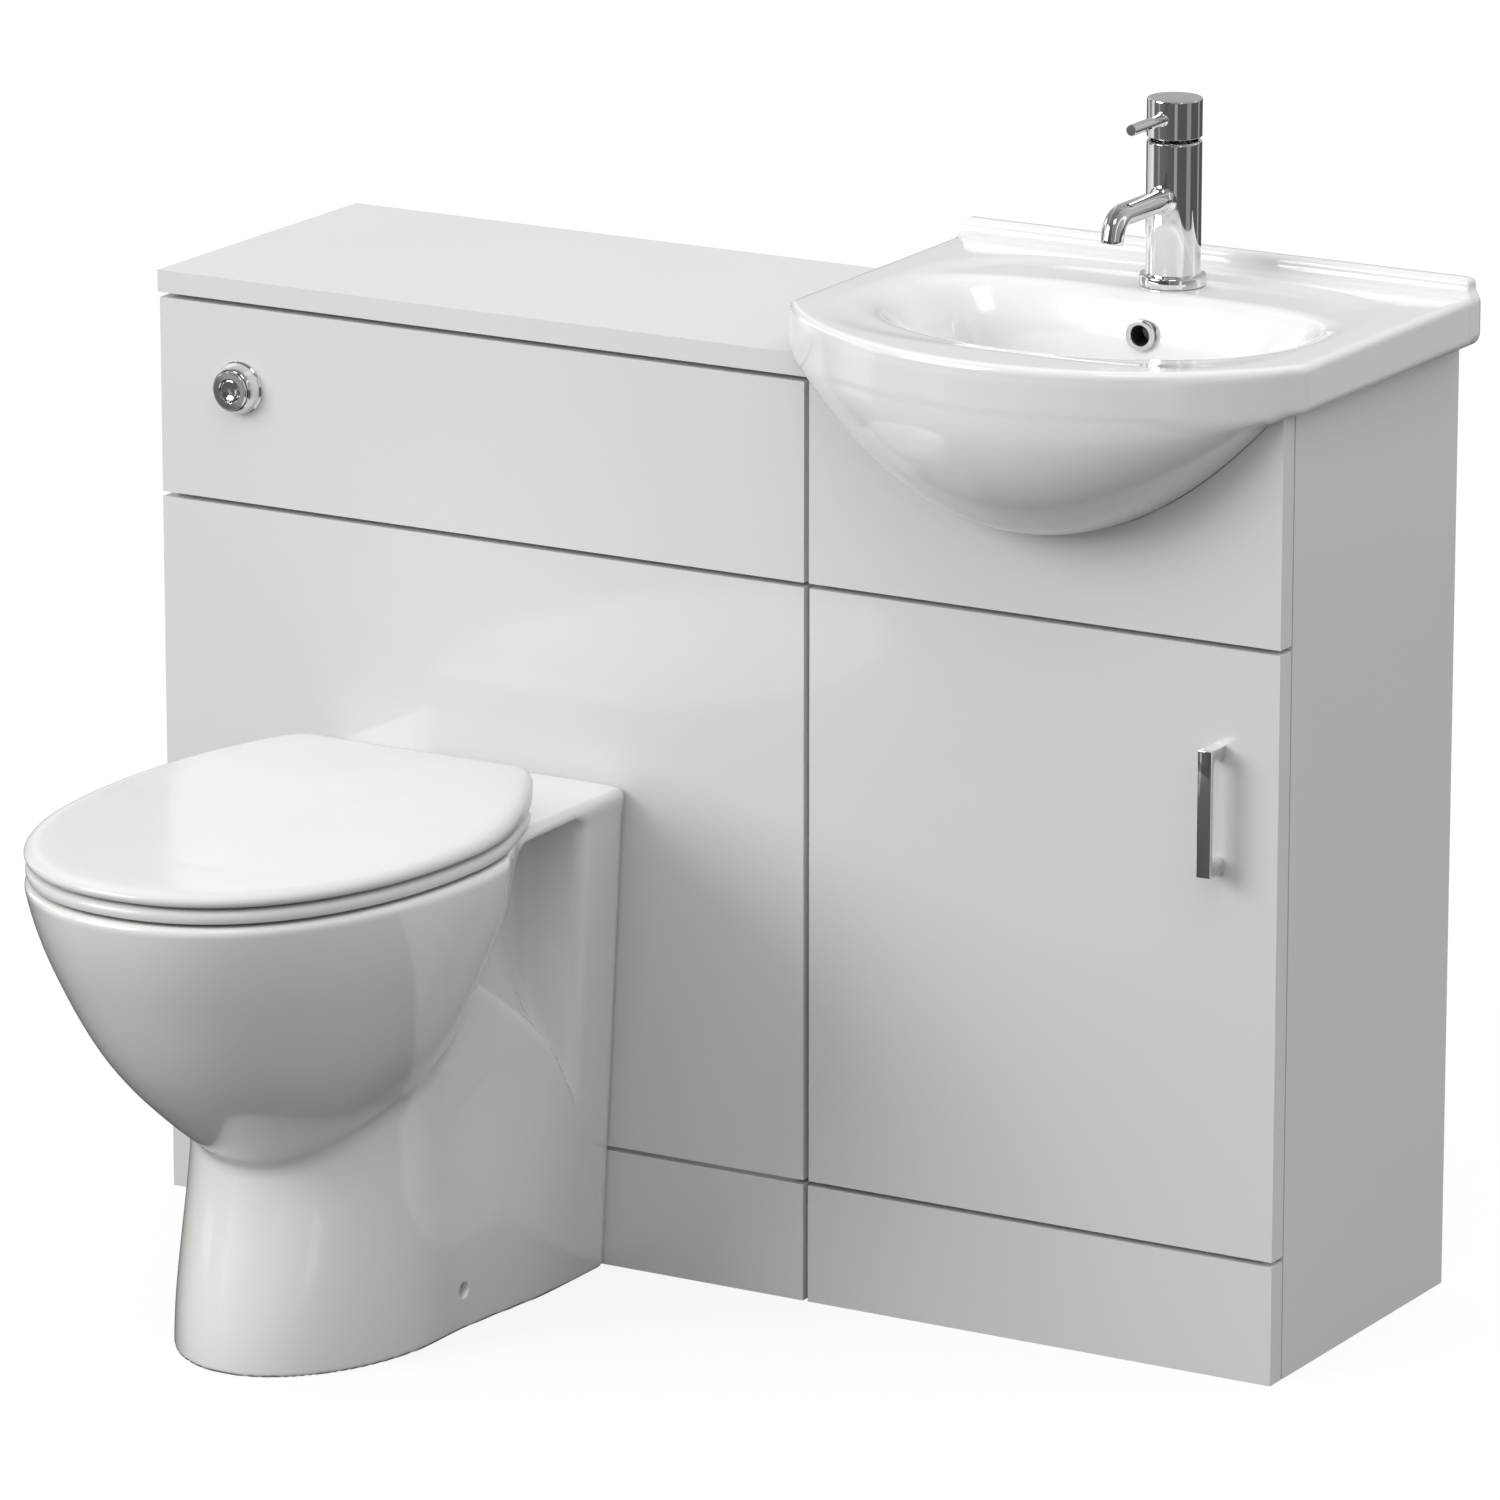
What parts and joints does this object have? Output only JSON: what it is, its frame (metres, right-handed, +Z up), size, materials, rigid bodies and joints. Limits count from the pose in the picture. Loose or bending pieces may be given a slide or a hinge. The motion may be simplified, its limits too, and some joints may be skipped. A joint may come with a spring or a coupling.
{
  "type": "toilet and basin combination unit",
  "caption": "Bathroom combination unit: back-to-wall toilet with concealed cistern in one gloss cabinet, semi-recessed basin with mixer tap on a vanity cupboard beside it.",
  "frame": {"origin": "centre of the footprint on the floor, under the middle of the overall box", "axes": "+X to the right from the toilet towards the basin, +Y from the front towards the wall, +Z up"},
  "size_m": [1.033, 0.823, 0.953],
  "materials": {
    "gloss_panel": "gloss white foil on board, very light grey in tone",
    "carcass_board": "matt white melamine on chipboard",
    "ceramic": "white glazed vitreous china",
    "seat_plastic": "gloss white thermoset",
    "white_plastic": "satin white plastic",
    "grey_plastic": "satin light grey plastic",
    "red_plastic": "satin red plastic",
    "blue_plastic": "satin blue plastic",
    "chrome": "polished chrome plate",
    "steel": "bright zinc-plated steel",
    "black_rubber": "matt black rubber"
  },
  "bodies": {
    "carcass": {"wc_side_left": "gloss_panel", "wc_side_right": "gloss_panel", "wc_worktop": "gloss_panel", "wc_front_rails": "carcass_board", "wc_back_rails": "carcass_board", "wc_fascia": "gloss_panel", "wc_lower_panel": "gloss_panel", "wc_plinth": "gloss_panel", "cistern_tank": "white_plastic", "cistern_lid": "white_plastic", "flush_valve_body": "grey_plastic", "fill_valve": "grey_plastic", "cistern_backnuts": "white_plastic", "flush_pipe": "white_plastic", "flush_cone": "black_rubber", "pan_connector": "white_plastic", "button_bezel": "chrome", "button_nut": "grey_plastic", "air_pump_housing": "grey_plastic", "pan": "ceramic", "seat_hinge_posts": "chrome", "seat_hinge_pins": "steel", "seat_bolts": "steel", "floor_brackets": "steel", "pan_side_screws": "steel", "vanity_side_left": "gloss_panel", "vanity_side_right": "gloss_panel", "vanity_base": "carcass_board", "vanity_front_rail": "carcass_board", "vanity_back_rails": "carcass_board", "vanity_fascia": "gloss_panel", "vanity_plinth": "gloss_panel", "hinge_arms": "steel", "corner_blocks": "white_plastic", "basin": "ceramic", "overflow_ring": "chrome", "waste_body": "chrome", "waste_nut": "chrome", "trap_body": "white_plastic", "trap_cup": "white_plastic", "trap_outlet_pipe": "white_plastic", "tap_body": "chrome", "tap_cartridge": "grey_plastic", "tap_fixing": "steel"},
    "door": {"vanity_door": "gloss_panel", "hinge_cups": "steel", "door_handle": "chrome", "handle_screws": "steel"},
    "seat": {"seat": "seat_plastic", "seat_buffers": "black_rubber"},
    "lid": {"lid": "seat_plastic", "lid_buffers": "black_rubber"},
    "full_flush": {"full_flush_button": "chrome"},
    "half_flush": {"half_flush_button": "chrome"},
    "flush_valve": {"flush_valve_tube": "red_plastic"},
    "float": {"fill_float": "blue_plastic"},
    "plug": {"basin_plug": "chrome"},
    "tap_carrier": {"tap_carrier": "grey_plastic"},
    "tap_handle": {"tap_cap": "chrome", "tap_lever": "chrome"}
  },
  "joints": [
    {"name": "door_hinge", "type": "hinge", "parent": "carcass", "child": "door", "pos_m": [0.088, 0.1175, 0.341], "axis": [0, 0, -1], "range_deg": [0, 95]},
    {"name": "seat_hinge", "type": "hinge", "parent": "carcass", "child": "seat", "pos_m": [-0.2165, 0.0095, 0.414], "axis": [-1, 0, 0], "range_deg": [0, 95]},
    {"name": "lid_hinge", "type": "hinge", "parent": "seat", "child": "lid", "pos_m": [-0.2165, 0.0095, 0.414], "axis": [1, 0, 0], "range_deg": [-95, 0]},
    {"name": "full_flush_press", "type": "slide", "parent": "carcass", "child": "full_flush", "axis": [0, 1, 0], "range_m": [0, 0.006], "stiffness_N_per_m": 400},
    {"name": "half_flush_press", "type": "slide", "parent": "carcass", "child": "half_flush", "axis": [0, 1, 0], "range_m": [0, 0.006], "stiffness_N_per_m": 400},
    {"name": "flush_valve_lift", "type": "slide", "parent": "carcass", "child": "flush_valve", "axis": [0, 0, 1], "range_m": [0, 0.02]},
    {"name": "float_rise", "type": "slide", "parent": "carcass", "child": "float", "axis": [0, 0, 1], "range_m": [0, 0.08]},
    {"name": "plug_travel", "type": "slide", "parent": "carcass", "child": "plug", "axis": [0, 0, 1], "range_m": [0, 0.008]},
    {"name": "tap_turn", "type": "hinge", "parent": "carcass", "child": "tap_carrier", "pos_m": [0.2875, 0.3325, 0.902], "axis": [0, 0, 1], "range_deg": [-50, 50]},
    {"name": "tap_lift", "type": "hinge", "parent": "tap_carrier", "child": "tap_handle", "pos_m": [0.2875, 0.3325, 0.902], "axis": [-1, 0, 0], "range_deg": [0, 20]}
  ]
}
